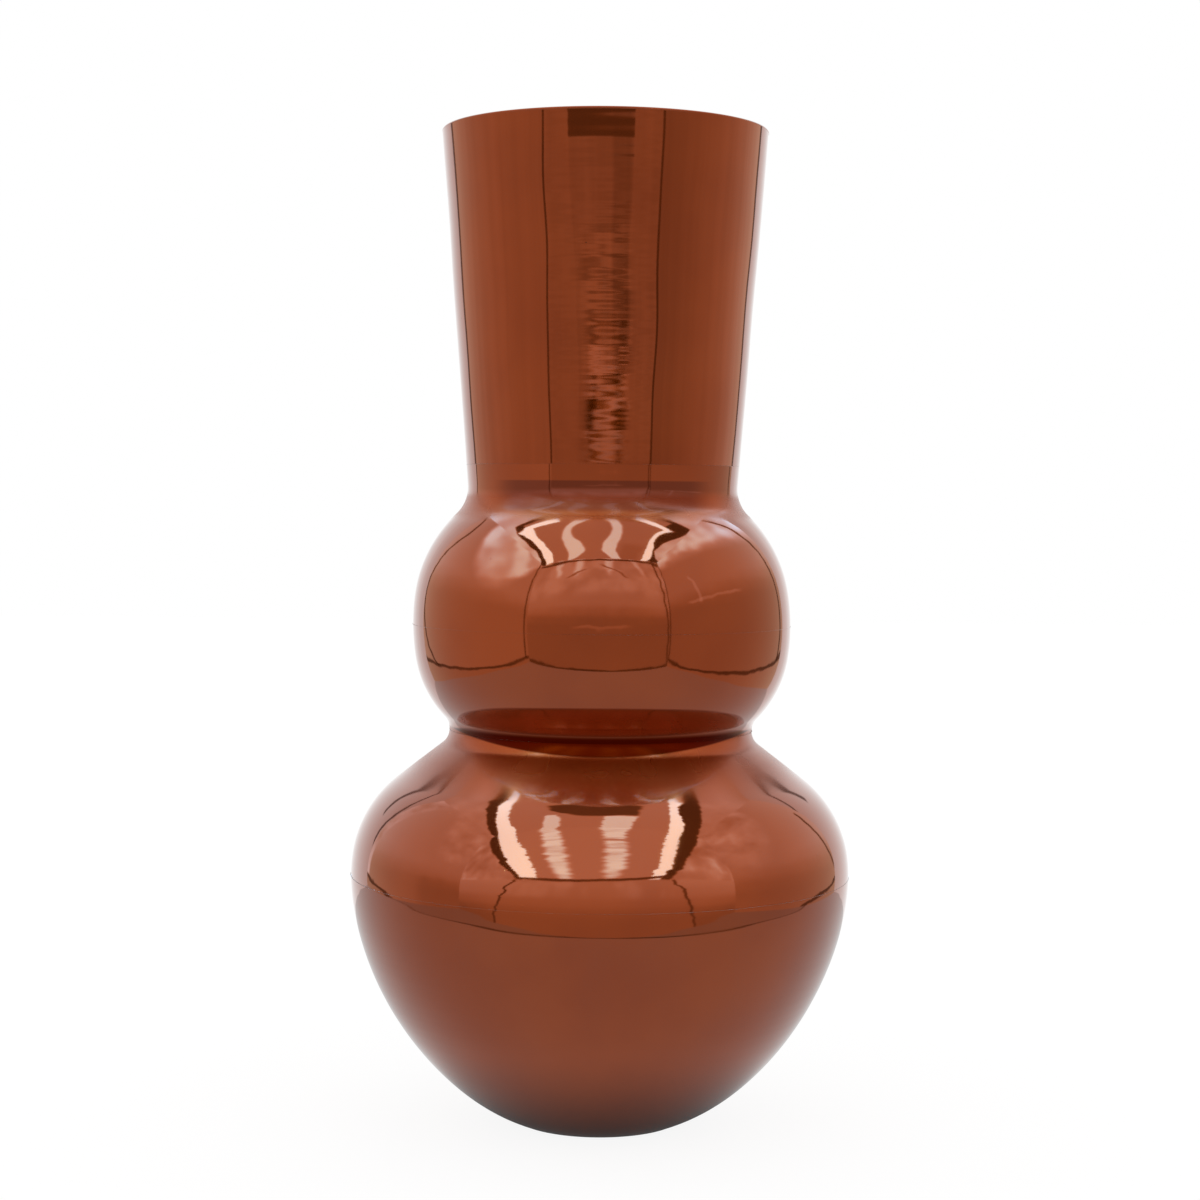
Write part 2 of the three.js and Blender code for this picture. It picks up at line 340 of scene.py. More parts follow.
def arc(centre, radius, start, end):
    """Points on a circle between two angles: centre + radius * (cos, sin)."""
    angles = np.linspace(start, end, CURVE_POINTS)
    return centre + radius * np.stack([np.cos(angles), np.sin(angles)], axis=1)


def bearing(start, end):
    """Angle above the outward level of the way from one point to another."""
    return np.arctan2(end[1] - start[1], end[0] - start[0])


def first_touch(start, way, centre, reach):
    """Where a disc of that reach, moving along a line, first touches a circle: the nearer root of the
    circle-line equation."""
    offset = start - centre
    half = offset @ way
    return start + way * (-half - np.sqrt(half * half - offset @ offset + reach * reach))


def lapped(run, lap, top_cut=FIT):
    """Outline of a spun section that climbs run: outside up, over its top edge, down the inner wall to 2.5 mm
    above the seam, and round a lap whose path runs down from the seam, 1.5 to 2.7 mm inside it."""
    path = lap[::-1]
    lap_outside, lap_inside = sunk(path, LAP_INSET), sunk(path, LAP_INSET + WALL)
    inside = stretch(sunk(run, WALL), JOGGLE, lengths(run)[-1] - top_cut)[::-1]
    return [
        (rows(run, FINE), 0, 1),
        (np.array([run[-1], inside[0]]), 1, 0),
        (rows(inside, COARSE), 1, 0),
        (np.array([inside[-1], lap_inside[-1]]), 1, 0),
        (rows(lap_inside[::-1], LAP_STEP), 1, 0),
        (np.array([lap_inside[0], lap_outside[0]]), 1, 0),
        (rows(lap_outside, LAP_STEP), 1, 0),
        (np.array([lap_outside[-1], run[0]]), 1, 0),
    ]


belly_centre = np.array([BELLY_RADIUS - BELLY_BAND, BELLY_LEVEL])
shoulder_centre = belly_centre + (BELLY_BAND - SHOULDER_ARC) * heading(BELLY_BAND_ANGLE)
band_centre = np.array([BALL_RADIUS - BALL_BAND, BALL_LEVEL])
under_centre = band_centre + (BALL_BAND - BALL_UNDER) * heading(-BALL_BAND_ANGLE)
cone_out, cone_up = heading(SHOULDER_CONE), heading(SHOULDER_CONE + np.pi / 2)
cone_foot = shoulder_centre + SHOULDER_ARC * cone_out
waist_centre = first_touch(
    cone_foot + WAIST_FILLET * cone_out, cone_up, under_centre, BALL_UNDER + WAIST_FILLET,
)
cone_head = waist_centre - WAIST_FILLET * cone_out
shoulder_run = chain(
    arc(belly_centre, BELLY_BAND, 0, BELLY_BAND_ANGLE),
    arc(shoulder_centre, SHOULDER_ARC, BELLY_BAND_ANGLE, SHOULDER_CONE),
    np.linspace(cone_foot, cone_head, 400),
    arc(waist_centre, WAIST_FILLET, np.pi + SHOULDER_CONE, np.pi),
)
shoulder_outline = lapped(shoulder_run, stretch(bowl_run[::-1], 0, LAP))
turned("bulb_shoulder_skin", shoulder_outline, [lacquer, zinc])

# Soft solder: dull grey tin and lead, drawn into ripples where it cooled, with a brown bloom of flux.
solder, shader, start = finish("soft_solder")
spot = start.here()
ripple = spot.noise(700, 3, 0.6)
flux = spot.noise(160, 3).rise(0.52, 0.72)
tint = flux.mix((0.52, 0.52, 0.51, 1), (0.22, 0.15, 0.08, 1))
relief = raised(start, ripple, 0.0002, 0.8)
wire_up(shader, Base_Color=tint, Metallic=0.9, Roughness=0.34 + flux * 0.3, Normal=relief)
for node in ("solder_bulb", "solder_waist", "solder_ball", "solder_neck"):
    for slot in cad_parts[node].material_slots:
        slot.material = solder


# Ball, lower half
# Spun cup from the waist to the ball's widest line. At the narrow waist its lap drops straight into the
# shoulder, which flares away from it, and solder fills the wedge between them.
ball_lower_run = chain(
    arc(waist_centre, WAIST_FILLET, np.pi, bearing(waist_centre, under_centre)),
    arc(under_centre, BALL_UNDER, bearing(under_centre, waist_centre), -BALL_BAND_ANGLE),
    arc(band_centre, BALL_BAND, -BALL_BAND_ANGLE, 0),
)
waist = waist_centre - [WAIST_FILLET, 0]
waist_drop = np.linspace(waist, waist - [0, (WAIST_FILLET + LAP_INSET) * np.sin(SHOULDER_CONE)], 200)
turned("ball_lower_half_skin", lapped(ball_lower_run, waist_drop), [lacquer, zinc])


# Ball, upper half
# Spun cap from the ball's widest line up to a short collar that takes the neck.
RIM_RADIUS, HEIGHT = 0.0492, 0.3
NECK_TAPER, NECK_FILLET, COLLAR = np.radians(4.43), 0.011, 0.006
BALL_CAP = 0.0417
neck_out, neck_down = heading(-NECK_TAPER), -heading(np.pi / 2 - NECK_TAPER)
rim = np.array([RIM_RADIUS, HEIGHT - WALL / 2 * (1 + np.sin(NECK_TAPER))])
cap_centre = band_centre + (BALL_BAND - BALL_CAP) * heading(BALL_BAND_ANGLE)
collar_centre = first_touch(rim + NECK_FILLET * neck_out, neck_down, cap_centre, BALL_CAP + NECK_FILLET)
collar_foot = collar_centre - NECK_FILLET * neck_out
collar_head = collar_foot - COLLAR * neck_down
ball_upper_run = chain(
    arc(band_centre, BALL_BAND, 0, BALL_BAND_ANGLE),
    arc(cap_centre, BALL_CAP, BALL_BAND_ANGLE, bearing(cap_centre, collar_centre)),
    arc(collar_centre, NECK_FILLET, bearing(collar_centre, cap_centre) + 2 * np.pi, np.pi - NECK_TAPER),
    np.linspace(collar_foot, collar_head, 400),
)
ball_upper_outline = lapped(ball_upper_run, stretch(ball_lower_run[::-1], 0, LAP))
turned("ball_upper_half_skin", ball_upper_outline, [lacquer, zinc])


# Neck
# Plain cone of sheet that widens to the mouth, where the cut edge is filed to a half round and the
# lacquer goes over it and 12 mm down the inside.
LACQUER_INSIDE = 0.012
LIP_POINTS = 17
neck_run = np.linspace(collar_head, rim, 2000)
neck_outline = lapped(neck_run, stretch(ball_upper_run[::-1], 0, LAP), top_cut=0)
inner_wall = stretch(sunk(neck_run, WALL), JOGGLE, lengths(neck_run)[-1])[::-1]
lip = arc(rim - WALL / 2 * neck_out, WALL / 2, -NECK_TAPER, np.pi - NECK_TAPER)
neck_outline[1:3] = [
    (lip[np.linspace(0, len(lip) - 1, LIP_POINTS).astype(int)], 0, 0),
    (rows(stretch(inner_wall, 0, LACQUER_INSIDE), FINE), 0, 0),
    (rows(stretch(inner_wall, LACQUER_INSIDE, lengths(inner_wall)[-1]), COARSE), 1, 0),
]
turned("neck_tube_skin", neck_outline, [lacquer, zinc])


# Base pad
# Disc of black pressed felt, glued into the recess under the foot so that the vase stands soft. Its
# edges are rounded, the lower one more.
LOWER_ROUND, UPPER_ROUND = 0.0004, 0.0002
felt, shader, start = finish("black_felt")
spot = start.here()
fibres = spot.stretched((1, 1, 0.4)).noise(2600, 4, 0.7)
matting = spot.noise(500, 3, 0.6)
tint = (fibres * 0.6 + matting * 0.4).mix((0.004, 0.004, 0.004, 1), (0.030, 0.027, 0.026, 1))
relief = raised(start, fibres + matting * 0.7, 0.0003)
wire_up(shader, Base_Color=tint, Roughness=0.95, Sheen_Weight=0.4, Sheen_Roughness=0.5, Normal=relief)
lower_centre = np.array([PAD_RADIUS - LOWER_ROUND, LOWER_ROUND])
upper_centre = np.array([PAD_RADIUS - UPPER_ROUND, PAD_THICKNESS - UPPER_ROUND])
# One point in 800 and one in 1300 are enough for these small arcs.
lower_edge = arc(lower_centre, LOWER_ROUND, -np.pi / 2, 0)[::800]
upper_edge = arc(upper_centre, UPPER_ROUND, 0, np.pi / 2)[::1300]
pad_outline = [
    (rows(np.array([[0, 0], lower_edge[0]]), 2 * FINE), 0, 0),
    (chain(lower_edge, np.array([lower_edge[-1], upper_edge[0]]), upper_edge), 0, 0),
    (rows(np.array([upper_edge[-1], [0, PAD_THICKNESS]]), COARSE), 0, 0),
]
turned("base_pad_skin", pad_outline, [felt], sides=160)


# Light tent
# The vase stands in a white cloth light tent with lamp strips in its roof, and the lacquer mirrors its
# cloth, folds and lamps. The screens show in mirrors only. The neck, the ball and the bulb have a box of
# screens each, because no single box gives all three mirror images.
TENT_TOP, TENT_BACK = 0.56, 0.29
# How bright each thing in the tent glows, and the tints of dim, plain and very bright places.
LAMP, PANEL, GLARE, CLOTH = 3.6, 2.4, 1.42, 1.05
FLOOR_LIGHT, FLOOR_SHADE, SEAM, FRAME = 0.72, 0.08, 0.2, 0.12
WARM, NEUTRAL, GLOWING = (1.12, 0.86, 0.62, 1), (1, 1, 1, 1), (1, 2.3, 3.4, 1)


def until(wire, end, soft):
    """1 before an end and 0 after it, with a soft edge. The end is a number or a wire."""
    return (end - wire).rise(-soft, soft)


def between(wire, low, high, soft):
    """1 between two lines and 0 outside, with soft edges. A line is a number or a wire."""
    return (wire - low).rise(-soft, soft) * until(wire, high, soft)


def curve(wire, at, reached):
    """Polynomial of a wire, of degree 3 at most, fitted to the values that it reaches at some places."""
    terms = np.polyfit(at, reached, min(len(at) - 1, 3)).tolist()
    total = terms[0]
    for term in terms[1:]:
        total = total * wire + term
    return total


def strip(across, along, soft, *edges):
    """1 on a curved strip of cloth, from rows of its place along the screen and of its two edges there."""
    at, low, high = np.transpose(edges)
    return between(across, curve(along, at, low), curve(along, at, high), soft)


def off_line(wire, at, width):
    """0 on a line, and 1 from that width off it."""
    return (wire - at).math("ABSOLUTE").rise(width * 0.3, width)


def seam(across, along, width, *path):
    """1 on a thin line through (place along, place across) points, and 0 from that width off it."""
    at, reached = np.transpose(path)
    return 1 - off_line(across, curve(along, at, reached), width)


def corner_fold(wire, at, width):
    """1 on the flat cloth, and dark within that width of the fold where two cloths meet."""
    return off_line(wire, at, width) * (1 - SEAM) + SEAM


def blend(level, mask, other):
    """The level where the mask is 0, and the other one where it is 1."""
    return level + mask * (other - level)


def crumple(spot, wire, size, depth):
    """A wire shaken by noise with patches of that size, so that straight edges run crumpled."""
    return wire + (spot.noise(1 / size, 2) - 0.5) * depth


def woven(spot):
    """Soft upright streaks of cloth, from 0.94 to 1.06."""
    return spot.stretched((26, 26, 3)).noise(1, 3, 0.6) * 0.3 + 0.85


def above_floor(level, z, foot_line, width):
    """Cloth above its foot line, the fold there, and lit floor below."""
    cloth = (z - foot_line).rise(-0.001, 0.001)
    return blend(FLOOR_LIGHT, cloth, level) * corner_fold(z, foot_line, width)


def bare_tree(owner):
    """Empties the nodes of a material or world, and gives a wire to start from."""
    owner.use_nodes = True
    owner.node_tree.nodes.clear()
    return Wire(owner.node_tree)


def lit_screen(name, corners, paint, dim, mirrored_in):
    """Flat stage screen between four corners that glows as bright as paint makes of x, y and z. Dim places
    have the colour dim and bright ones turn whiter. It shows only in mirrors of one collection, and lets
    everything pass."""
    mesh = bpy.data.meshes.new(name)
    mesh.from_pydata(corners, [], [range(len(corners))])
    material = bpy.data.materials.new(name)
    start = bare_tree(material)
    material.cycles.emission_sampling = "NONE"
    spot = start.here()
    level = paint(*spot.parts(), spot)
    colour = level.rise(0.7, 1.45).mix(dim, NEUTRAL)
    colour = level.rise(1.35, 2.7).mix(colour, GLOWING).stretched(level)
    glow = start.shade("Emission", {"Color": colour})
    both = start.shade("AddShader", {0: glow, 1: start.shade("BsdfTransparent", {})})
    start.shade("OutputMaterial", {"Surface": both})
    mesh.materials.append(material)
    cloth = bpy.data.objects.new(name, mesh)
    bpy.context.scene.collection.objects.link(cloth)
    cloth.visible_camera = cloth.visible_diffuse = cloth.visible_transmission = cloth.visible_shadow = False
    cloth.light_linking.receiver_collection = mirrored_in


def tent(name, pieces, extent, grown, **paints):
    """Closed box of six lit screens for the pieces named, with its left, right and front in extent. It is
    grown a little all round, because a mirrored ray misses the second of two screens in one place. paints
    has one function for each side."""
    mirrored_in = bpy.data.collections.new(name)
    for piece in pieces:
        mirrored_in.objects.link(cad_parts.get(piece) or bpy.data.objects[piece])
    x0, x1, near = extent[0] - grown, extent[1] + grown, extent[2] - grown
    back, top, low = TENT_BACK + grown, TENT_TOP + grown, -grown
    corners = {
        "left": [(x0, near, low), (x0, back, low), (x0, back, top), (x0, near, top)],
        "right": [(x1, near, low), (x1, back, low), (x1, back, top), (x1, near, top)],
        "back": [(x0, back, low), (x1, back, low), (x1, back, top), (x0, back, top)],
        "front": [(x0, near, low), (x1, near, low), (x1, near, top), (x0, near, top)],
        "roof": [(x0, near, top), (x1, near, top), (x1, back, top), (x0, back, top)],
        "floor": [(x0, near, low), (x1, near, low), (x1, back, low), (x0, back, low)],
    }
    for side, paint in paints.items():
        dim = NEUTRAL if side in ("floor", "back") else WARM
        lit_screen(name + "_" + side, corners[side], paint, dim, mirrored_in)


def shaded_floor(x, y, z, spot):
    """White floor that the vase shades: dark under the foot, and full light from 72 mm out."""
    radius = (x * x + y * y).math("SQRT")
    return radius.rise(0.026, 0.072) * (FLOOR_LIGHT - FLOOR_SHADE) + FLOOR_SHADE


def plain_cloth(x, y, z, spot):
    """Plain bright cloth with soft streaks."""
    return woven(spot) * CLOTH


# The tent as the neck mirrors it.
UPPER_LEFT, UPPER_RIGHT, UPPER_FRONT = -0.34, 0.30, -0.38


def neck_front(x, y, z, spot):
    """Front cloth with the slot that the camera looks through: a dark block at its top, a darker column in
    it and fine streaks below."""
    shaken = crumple(spot, x, 0.02, 0.005)
    slot = between(shaken, -0.125 - (z - 0.18) * 0.42, 0.10 + (z - 0.18) * 0.28, 0.004)
    block = slot * z.rise(0.289, 0.292)
    ragged = x + (spot.stretched((3, 1, 500)).noise(1, 2) - 0.5) * 0.14
    streaks = spot.stretched((9, 1, 330)).noise(1, 2, 0.5).rise(0.38, 0.62) - 0.5
    strong = between(z, 0.125, 0.205, 0.012) * between(ragged, -0.075, 0.115, 0.012) * 0.85
    mild = between(z, 0.15, 0.262, 0.02) * between(ragged, -0.11, 0.125, 0.02) * 0.28
    column = between(shaken, 0.035, 0.12, 0.012) * z.rise(0.19, 0.21)
    level = 0.60 - x.rise(0, 0.2) * 0.03 - slot * 0.05 - column * 0.14 + streaks * (strong + mild + 0.09)
    level = level * corner_fold(shaken, UPPER_LEFT, 0.008) * corner_fold(shaken, UPPER_RIGHT, 0.008)
    return blend(level * woven(spot), block, FRAME)


def neck_back(x, y, z, spot):
    """Rear cloth with a fold at each side."""
    return corner_fold(x, UPPER_LEFT, 0.020) * corner_fold(x, UPPER_RIGHT, 0.020) * CLOTH


def neck_side(near_tone, far_tone):
    """Paint of a side cloth whose tone changes from front to back, with folds at both ends."""
    def paint(x, y, z, spot):
        tone = y.rise(UPPER_FRONT, TENT_BACK) * (far_tone - near_tone) + near_tone
        shaken = crumple(spot, y, 0.02, 0.005)
        folds = corner_fold(shaken, UPPER_FRONT, 0.008) * corner_fold(shaken, TENT_BACK, 0.020)
        return folds * tone * woven(spot)
    return paint


tent(
    "neck_tent", ["neck_tube_skin"], (UPPER_LEFT, UPPER_RIGHT, UPPER_FRONT), 0.004,
    front=neck_front, roof=plain_cloth, left=neck_side(0.66, 0.86), right=neck_side(0.44, 0.90),
    back=neck_back, floor=shaded_floor,
)


# The tent as the ball mirrors it.
def ball_front(x, y, z, spot):
    """Front cloth: dark below, pale patches higher up, and tongues of light and creases under the roof."""
    x, z = crumple(spot, x, 0.06, 0.03), crumple(spot, z, 0.05, 0.02)
    level = 0.60 + z.rise(0.165, 0.25) * 0.54
    level = level + spot.stretched((9, 1, 7)).noise(1, 2).rise(0.35, 0.65) * z.rise(0.25, 0.32) * 0.40
    level = level + between(z, 0.154, 0.166, 0.003) * between(x, -0.1, 0.1, 0.03) * 0.28
    tongues = (
        strip(x, z, 0.012, (0.38, -0.205, -0.185), (0.52, -0.235, -0.200))
        + strip(x, z, 0.012, (0.38, -0.125, -0.105), (0.52, -0.130, -0.090))
        + strip(x, z, 0.012, (0.40, 0.020, 0.035), (0.52, 0.010, 0.050))
        + strip(x, z, 0.012, (0.38, 0.195, 0.215), (0.52, 0.145, 0.175))
    ) * z.rise(0.38, 0.44)
    level = level + tongues * 0.55
    creases = seam(x, z, 0.012, (0.40, 0.10), (0.48, 0.01)) * between(z, 0.39, 0.49, 0.01)
    creases = creases + seam(x, z, 0.012, (0.40, -0.14), (0.45, -0.08)) * between(z, 0.39, 0.46, 0.01)
    level = blend(level, creases, 0.75)
    level = blend(level, between(z, 0.530, 0.552, 0.004), SEAM)
    level = level * corner_fold(z, 0.003, 0.012)
    return blend(level, seam(x, z, 0.008, (0, 0.295), (0.55, 0.268)), SEAM)


def ball_roof(x, y, z, spot):
    """Roof: a lamp strip near each side, a short one across behind each of them, two softer strips between
    them, dark cloth outside the strips and bright cloth beyond that."""
    x, y = crumple(spot, x, 0.05, 0.012), crumple(spot, y, 0.05, 0.012)
    left_lamp = strip(
        x, y, 0.003, (-0.05, -0.295, -0.235), (-0.10, -0.287, -0.245), (-0.20, -0.272, -0.232),
        (-0.25, -0.288, -0.243), (-0.35, -0.305, -0.257),
    ) * until(y, -0.03, 0.01)
    right_lamp = strip(
        x, y, 0.003, (-0.08, 0.205, 0.228), (-0.15, 0.182, 0.200), (-0.20, 0.177, 0.202),
        (-0.25, 0.188, 0.223), (-0.35, 0.200, 0.242),
    ) * until(y, -0.06, 0.01)
    rear_left = between(x, -0.270, -0.130, 0.006) * between(y, -0.05, -0.02, 0.004)
    rear_right = strip(y, x, 0.004, (0.10, -0.048, -0.022), (0.22, -0.083, -0.055))
    rear_right = between(x, 0.095, 0.225, 0.006) * rear_right
    left_panel = strip(
        x, y, 0.007, (-0.07, -0.100, -0.055), (-0.11, -0.125, -0.095), (-0.16, -0.152, -0.112),
        (-0.22, -0.155, -0.09), (-0.35, -0.170, -0.115),
    )
    right_panel = strip(
        x, y, 0.007, (-0.07, 0.010, 0.045), (-0.15, 0.028, 0.068), (-0.22, 0.008, 0.062),
        (-0.35, 0.020, 0.075),
    )
    inside = strip(x, y, 0.004, (0, -0.262, 0.215), (-0.15, -0.262, 0.192), (-0.35, -0.285, 0.22))
    outline = strip(
        x, y, 0.004, (0, -0.300, 0.300), (-0.10, -0.315, 0.290), (-0.15, -0.300, 0.236),
        (-0.20, -0.310, 0.250), (-0.35, -0.340, 0.292),
    ) * until(y, 0.022, 0.006)
    middle = 1.15 - between(x, 0.08, 0.175, 0.02) * until(y, -0.24, 0.02) * 0.2
    middle = middle - between(y, -0.062, -0.048, 0.005) * between(x, -0.05, 0.13, 0.02) * 0.4
    level = blend(spot.noise(6, 1).rise(0.3, 0.7) * 0.6 + 1.8, outline, 0.10)
    level = blend(level, inside * until(y, 0.0, 0.006), middle)
    level = blend(level, (left_panel + right_panel) * until(y, -0.055, 0.01), PANEL)
    lamps = (left_lamp + right_lamp + rear_left + rear_right).math("MINIMUM", 1)
    return blend(level, lamps, LAMP)


def ball_left(x, y, z, spot):
    """Left cloth: bright high up, darker below, and floor under its foot line."""
    y, z = crumple(spot, y, 0.03, 0.006), crumple(spot, z, 0.06, 0.02)
    bright = (z - curve(y, (-0.33, -0.2, -0.05, 0.13), (0.47, 0.31, 0.30, 0.54))).rise(-0.03, 0.06)
    level = 0.80 + z.rise(0.20, 0.30) * 0.35
    level = blend(level, bright, 1.72 + spot.noise(8, 1).rise(0.3, 0.7) * 0.6)
    rear_fold = curve(z, (0.18, 0.29, 0.38, 0.45), (0.283, 0.261, 0.22, 0.212))
    level = level * corner_fold(y, -0.36, 0.008) * corner_fold(y, rear_fold, 0.014)
    foot_line = curve(y, (-0.36, -0.25, -0.04, 0.235), (0.020, 0.018, 0.031, 0.065))
    return above_floor(level, z, foot_line, 0.010)


def ball_right(x, y, z, spot):
    """Right cloth: the same, a little dimmer, with two creases."""
    y, z = crumple(spot, y, 0.03, 0.006), crumple(spot, z, 0.06, 0.02)
    bright = (z - curve(y, (-0.35, 0.10), (0.50, 0.40))).rise(-0.04, 0.06)
    level = 0.66 + z.rise(0.20, 0.30) * 0.40
    level_crease = seam(z, y, 0.007, (-0.25, 0.237), (-0.02, 0.232)) * between(y, -0.25, -0.02, 0.02)
    upright_crease = seam(y, z, 0.010, (0.23, -0.19), (0.29, -0.20), (0.35, -0.22))
    level = level + (level_crease + upright_crease * between(z, 0.23, 0.35, 0.01)) * 0.35
    level = blend(level, bright, 1.72 + spot.noise(8, 1).rise(0.3, 0.7) * 0.6)
    rear_fold = curve(z, (0.12, 0.28, 0.41), (0.245, 0.240, 0.215))
    level = level * corner_fold(y, UPPER_FRONT, 0.008) * corner_fold(y, rear_fold, 0.014)
    foot_line = curve(y, (-0.37, -0.18, 0.0, 0.19), (0.023, 0.020, 0.042, 0.075))
    return above_floor(level, z, foot_line, 0.010)


tent(
    "ball_tent", ["ball_upper_half_skin", "ball_lower_half_skin", "solder_neck", "solder_ball"],
    (UPPER_LEFT, UPPER_RIGHT, UPPER_FRONT), 0.002, front=ball_front, roof=ball_roof, left=ball_left,
    right=ball_right, back=plain_cloth, floor=shaded_floor,
)


# The tent as the bulb mirrors it.
LOWER_LEFT, LOWER_RIGHT, LOWER_FRONT = -0.42, 0.38, -0.239


def bulb_front(x, y, z, spot):
    """Front cloth: the roof window with its lamps high up, bright cloth outside its dark frame, and dimmer
    flaps between two seams below it."""
    x, z = crumple(spot, x, 0.04, 0.008), crumple(spot, z, 0.04, 0.008)
    x = x + (spot.stretched((3, 1, 70)).noise(1, 3, 0.6) - 0.5) * 0.034
    left_lamp = strip(
        x, z, 0.003, (0.15, -0.147, -0.112), (0.2, -0.185, -0.125), (0.25, -0.210, -0.150),
        (0.35, -0.285, -0.205), (0.45, -0.330, -0.255), (0.55, -0.395, -0.295),
    )
    right_lamp = strip(
        x, z, 0.003, (0.15, 0.088, 0.112), (0.2, 0.108, 0.135), (0.25, 0.125, 0.162),
        (0.35, 0.157, 0.200), (0.45, 0.192, 0.240), (0.55, 0.235, 0.290),
    )
    left_panel = strip(
        x, z, 0.010, (0.15, -0.070, -0.047), (0.25, -0.105, -0.065), (0.35, -0.135, -0.085),
        (0.55, -0.2, -0.14),
    )
    right_panel = strip(
        x, z, 0.010, (0.15, 0.008, 0.030), (0.25, 0.010, 0.052), (0.35, 0.010, 0.060),
        (0.55, -0.005, 0.095),
    ) * (1 - between(z, 0.345, 0.372, 0.006) * 0.8)
    broken = spot.stretched((7, 1, 45)).noise(1, 2).rise(0.3, 0.6) * 0.45 + 0.55
    outside = strip(
        x, z, 0.004, (0.15, -0.162, 0.135), (0.2, -0.205, 0.165), (0.25, -0.247, 0.200),
        (0.35, -0.327, 0.262), (0.45, -0.385, 0.320), (0.55, -0.430, 0.375),
    )
    inside = strip(
        x, z, 0.004, (0.15, -0.147, 0.112), (0.2, -0.185, 0.135), (0.25, -0.210, 0.162),
        (0.35, -0.285, 0.200), (0.45, -0.330, 0.240), (0.55, -0.395, 0.290),
    )
    high = blend(GLARE + (spot.noise(12, 3) - 0.5) * 1.8, outside, FRAME)
    high = blend(high, inside, 1.35)
    high = blend(high, (left_panel + right_panel) * broken, PANEL + 0.3)
    high = blend(high, left_lamp + right_lamp, LAMP)
    seams = seam(x, z, 0.006, (0.14, -0.160), (0.07, -0.200), (0, -0.222))
    seams = seams + seam(x, z, 0.006, (0.15, 0.132), (0.07, 0.167), (0, 0.192))
    flaps = strip(x, z, 0.002, (0.14, -0.160, 0.134), (0.07, -0.200, 0.167), (0, -0.222, 0.192))
    tufts = spot.stretched((16, 1, 9)).noise(1, 2).rise(0.45, 0.65) * between(z, 0.09, 0.14, 0.015)
    beyond = z.rise(0.0, 0.15) * (GLARE - 0.55) + 0.55
    low = blend(beyond, flaps, z.rise(0.02, 0.13) * 0.50 + 0.66 + tufts * 0.25)
    low = blend(low, seams, SEAM)
    sill = seam(z, x, 0.006, (-0.15, 0.147), (-0.08, 0.143), (-0.02, 0.137), (0.03, 0.143), (0.11, 0.150))
    window = (z - 0.142).rise(-0.003, 0.003)
    return blend(blend(low, window, high), sill * between(x, -0.16, 0.13, 0.004), SEAM)


def bulb_roof(x, y, z, spot):
    """Roof, where the same lamps run on to their ends, with a dark patch between them."""
    x, y = crumple(spot, x, 0.04, 0.008), crumple(spot, y, 0.04, 0.008)
    x = x + (spot.stretched((3, 60, 1)).noise(1, 3, 0.6) - 0.5) * 0.034
    left_lamp = strip(
        x, y, 0.004, (-0.24, -0.395, -0.295), (-0.15, -0.350, -0.285), (-0.05, -0.302, -0.252),
        (0.05, -0.247, -0.203),
    ) * until(y, 0.09, 0.006)
    right_lamp = strip(
        x, y, 0.004, (-0.24, 0.235, 0.290), (-0.15, 0.210, 0.265), (-0.05, 0.182, 0.212),
        (0.05, 0.155, 0.187),
    ) * until(y, 0.062, 0.006)
    outside = strip(
        x, y, 0.005, (-0.24, -0.430, 0.375), (-0.15, -0.400, 0.340), (-0.05, -0.345, 0.300),
        (0.05, -0.300, 0.247), (0.10, -0.270, 0.230),
    ) * until(y, 0.125, 0.008)
    inside = strip(
        x, y, 0.004, (-0.24, -0.395, 0.290), (-0.15, -0.350, 0.265), (-0.05, -0.302, 0.212),
        (0.05, -0.247, 0.187),
    ) * until(y, 0.092, 0.006)
    left_panel = strip(
        x, y, 0.006, (-0.24, -0.195, -0.140), (-0.15, -0.165, -0.115), (-0.10, -0.145, -0.115),
    ) * until(y, -0.1, 0.01)
    right_panel = strip(x, y, 0.006, (-0.24, 0.000, 0.095), (-0.12, 0.010, 0.100)) * until(y, -0.115, 0.01)
    patch = strip(
        y, x, 0.008, (-0.12, -0.060, -0.005), (-0.06, -0.115, -0.002), (0.0, -0.122, 0.0),
        (0.09, -0.105, -0.004),
    ) * between(x, -0.125, 0.10, 0.008)
    around = (0.20 - y).rise(-0.12, 0.05) * (GLARE - 1.0) + 1.0
    level = blend(around + (spot.noise(12, 2) - 0.5) * 0.5, outside, FRAME)
    level = blend(level, inside, 1.3)
    level = blend(level, left_panel + right_panel, PANEL)
    level = blend(level, patch, 0.22)
    return blend(level, left_lamp + right_lamp, LAMP)


def bulb_left(x, y, z, spot):
    """Left cloth: bright above a slanting line, dimmer low down, and floor under its foot line."""
    z = crumple(spot, z, 0.05, 0.02)
    bright = (z - curve(y, (-0.15, -0.05, 0.04, 0.075), (0.20, 0.35, 0.52, 0.56))).rise(-0.07, 0.07)
    level = 0.80 + z.rise(0.06, 0.20) * 0.40
    level = blend(level, bright, GLARE + (spot.noise(9, 3) - 0.5) * 1.6)
    level = level - z.rise(0.13, 0.09) * until(y, -0.06, 0.03) * 0.14
    foot_line = curve(y, (0.085, 0.14, 0.20, 0.29), (0.0, 0.012, 0.022, 0.038))
    return above_floor(level, z, foot_line, 0.009)


